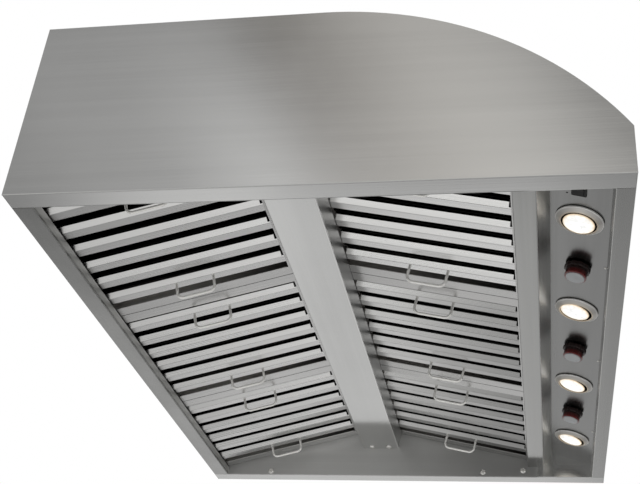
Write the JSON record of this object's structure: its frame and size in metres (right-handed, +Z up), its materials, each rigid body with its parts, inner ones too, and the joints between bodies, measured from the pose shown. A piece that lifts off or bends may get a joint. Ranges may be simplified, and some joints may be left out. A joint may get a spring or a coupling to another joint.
{
  "type": "outdoor range hood",
  "caption": "Wall-mounted stainless outdoor range hood with a curved front roof, sloping lift-out baffle filters, a tilted lamp and knob panel, blowers and round duct collars.",
  "frame": {"origin": "middle of the bottom rim, on the rim's plane", "axes": "+X along the hood's width, -Y towards the user, +Y to the wall, +Z up"},
  "size_m": [1.2192, 0.9144, 0.385],
  "materials": {
    "hood_steel": "brushed stainless sheet, straight grain",
    "filter_steel": "satin stainless sheet",
    "baffle_steel": "satin stainless sheet",
    "handle_wire": "bright drawn stainless wire",
    "bezel_steel": "spun stainless",
    "lamp": "lit warm white reflector lamp",
    "lampholder": "heat resistant moulding",
    "control_plastic": "moulded housing",
    "knob_black": "dark moulded plastic",
    "knob_red": "translucent red ring",
    "knob_silver": "turned disc",
    "switch_black": "moulded plastic",
    "seal_rubber": "moulded seal",
    "screw_steel": "bright pan heads",
    "galvanised": "zinc coated sheet",
    "wheel_steel": "formed blades",
    "shaft_steel": "ground rod",
    "motor_paint": "black enamel"
  },
  "bodies": {
    "hood": {"blower_housing_left": "galvanised", "blower_housing_right": "galvanised", "blower_motors": "motor_paint", "center_rail": "hood_steel", "damper_rods": "shaft_steel", "duct_collar_left": "galvanised", "duct_collar_right": "galvanised", "front_trough": "hood_steel", "front_visor": "hood_steel", "junction_box": "galvanised", "junction_box_cover": "galvanised", "lamp_gaskets": "seal_rubber", "lampholders": "lampholder", "lamps": "lamp", "left_side_panel": "hood_steel", "light_bezels": "bezel_steel", "light_panel": "hood_steel", "rail_brackets": "galvanised", "rear_panel": "hood_steel", "right_side_panel": "hood_steel", "rocker_frame": "switch_black", "rotary_controls": "control_plastic", "screws": "screw_steel", "top_panel": "hood_steel"},
    "filter_rear_left": {"filter_rear_left_frame": "filter_steel", "filter_rear_left_baffles": "baffle_steel", "filter_rear_left_handles": "handle_wire"},
    "filter_rear_center": {"filter_rear_center_frame": "filter_steel", "filter_rear_center_baffles": "baffle_steel", "filter_rear_center_handles": "handle_wire"},
    "filter_rear_right": {"filter_rear_right_frame": "filter_steel", "filter_rear_right_baffles": "baffle_steel", "filter_rear_right_handles": "handle_wire"},
    "filter_front_left": {"filter_front_left_frame": "filter_steel", "filter_front_left_baffles": "baffle_steel", "filter_front_left_handles": "handle_wire"},
    "filter_front_center": {"filter_front_center_frame": "filter_steel", "filter_front_center_baffles": "baffle_steel", "filter_front_center_handles": "handle_wire"},
    "filter_front_right": {"filter_front_right_frame": "filter_steel", "filter_front_right_baffles": "baffle_steel", "filter_front_right_handles": "handle_wire"},
    "knob_1": {"knob_1_body": "knob_black", "knob_1_ring": "knob_red", "knob_1_cap": "knob_silver"},
    "knob_2": {"knob_2_body": "knob_black", "knob_2_ring": "knob_red", "knob_2_cap": "knob_silver"},
    "knob_3": {"knob_3_body": "knob_black", "knob_3_ring": "knob_red", "knob_3_cap": "knob_silver"},
    "rocker": {"rocker_paddle": "switch_black"},
    "rotor_left": {"impeller_left": "wheel_steel", "rotor_shaft_left": "shaft_steel"},
    "damper_left_front": {"damper_flap_left_front": "galvanised"},
    "damper_left_rear": {"damper_flap_left_rear": "galvanised"},
    "rotor_right": {"impeller_right": "wheel_steel", "rotor_shaft_right": "shaft_steel"},
    "damper_right_front": {"damper_flap_right_front": "galvanised"},
    "damper_right_rear": {"damper_flap_right_rear": "galvanised"}
  },
  "joints": [
    {"name": "filter_rear_left_lift", "type": "slide", "parent": "hood", "child": "filter_rear_left", "axis": [0, -0.9667, 0.256], "range_m": [0, 0.03]},
    {"name": "filter_rear_center_lift", "type": "slide", "parent": "hood", "child": "filter_rear_center", "axis": [0, -0.9667, 0.256], "range_m": [0, 0.03]},
    {"name": "filter_rear_right_lift", "type": "slide", "parent": "hood", "child": "filter_rear_right", "axis": [0, -0.9667, 0.256], "range_m": [0, 0.03]},
    {"name": "filter_front_left_lift", "type": "slide", "parent": "hood", "child": "filter_front_left", "axis": [0, 0.9784, 0.2068], "range_m": [0, 0.027]},
    {"name": "filter_front_center_lift", "type": "slide", "parent": "hood", "child": "filter_front_center", "axis": [0, 0.9784, 0.2068], "range_m": [0, 0.027]},
    {"name": "filter_front_right_lift", "type": "slide", "parent": "hood", "child": "filter_front_right", "axis": [0, 0.9784, 0.2068], "range_m": [0, 0.027]},
    {"name": "knob_1_turn", "type": "hinge", "parent": "hood", "child": "knob_1", "pos_m": [-0.293, -0.38587, 0.04452], "axis": [0, 0.2656, -0.9641], "range_deg": [0, 270]},
    {"name": "knob_2_turn", "type": "hinge", "parent": "hood", "child": "knob_2", "pos_m": [0, -0.38587, 0.04452], "axis": [0, 0.2656, -0.9641], "range_deg": [0, 270]},
    {"name": "knob_3_turn", "type": "hinge", "parent": "hood", "child": "knob_3", "pos_m": [0.293, -0.38587, 0.04452], "axis": [0, 0.2656, -0.9641], "range_deg": [0, 270]},
    {"name": "rocker_tilt", "type": "hinge", "parent": "hood", "child": "rocker", "pos_m": [-0.51, -0.38425, 0.04807], "axis": [0, 0.9641, 0.2656], "range_deg": [0, 16]},
    {"name": "rotor_left_spin", "type": "hinge", "parent": "hood", "child": "rotor_left", "pos_m": [-0.2, 0.25, 0.232], "axis": [1, 0, 0], "continuous": true},
    {"name": "damper_left_front_open", "type": "hinge", "parent": "hood", "child": "damper_left_front", "pos_m": [-0.2, 0.2068, 0.352], "axis": [-1, 0, 0], "range_deg": [0, 80]},
    {"name": "damper_left_rear_open", "type": "hinge", "parent": "hood", "child": "damper_left_rear", "pos_m": [-0.2, 0.2068, 0.352], "axis": [1, 0, 0], "range_deg": [0, 80]},
    {"name": "rotor_right_spin", "type": "hinge", "parent": "hood", "child": "rotor_right", "pos_m": [0.2, 0.25, 0.232], "axis": [1, 0, 0], "continuous": true},
    {"name": "damper_right_front_open", "type": "hinge", "parent": "hood", "child": "damper_right_front", "pos_m": [0.2, 0.2068, 0.352], "axis": [-1, 0, 0], "range_deg": [0, 80]},
    {"name": "damper_right_rear_open", "type": "hinge", "parent": "hood", "child": "damper_right_rear", "pos_m": [0.2, 0.2068, 0.352], "axis": [1, 0, 0], "range_deg": [0, 80]}
  ]
}
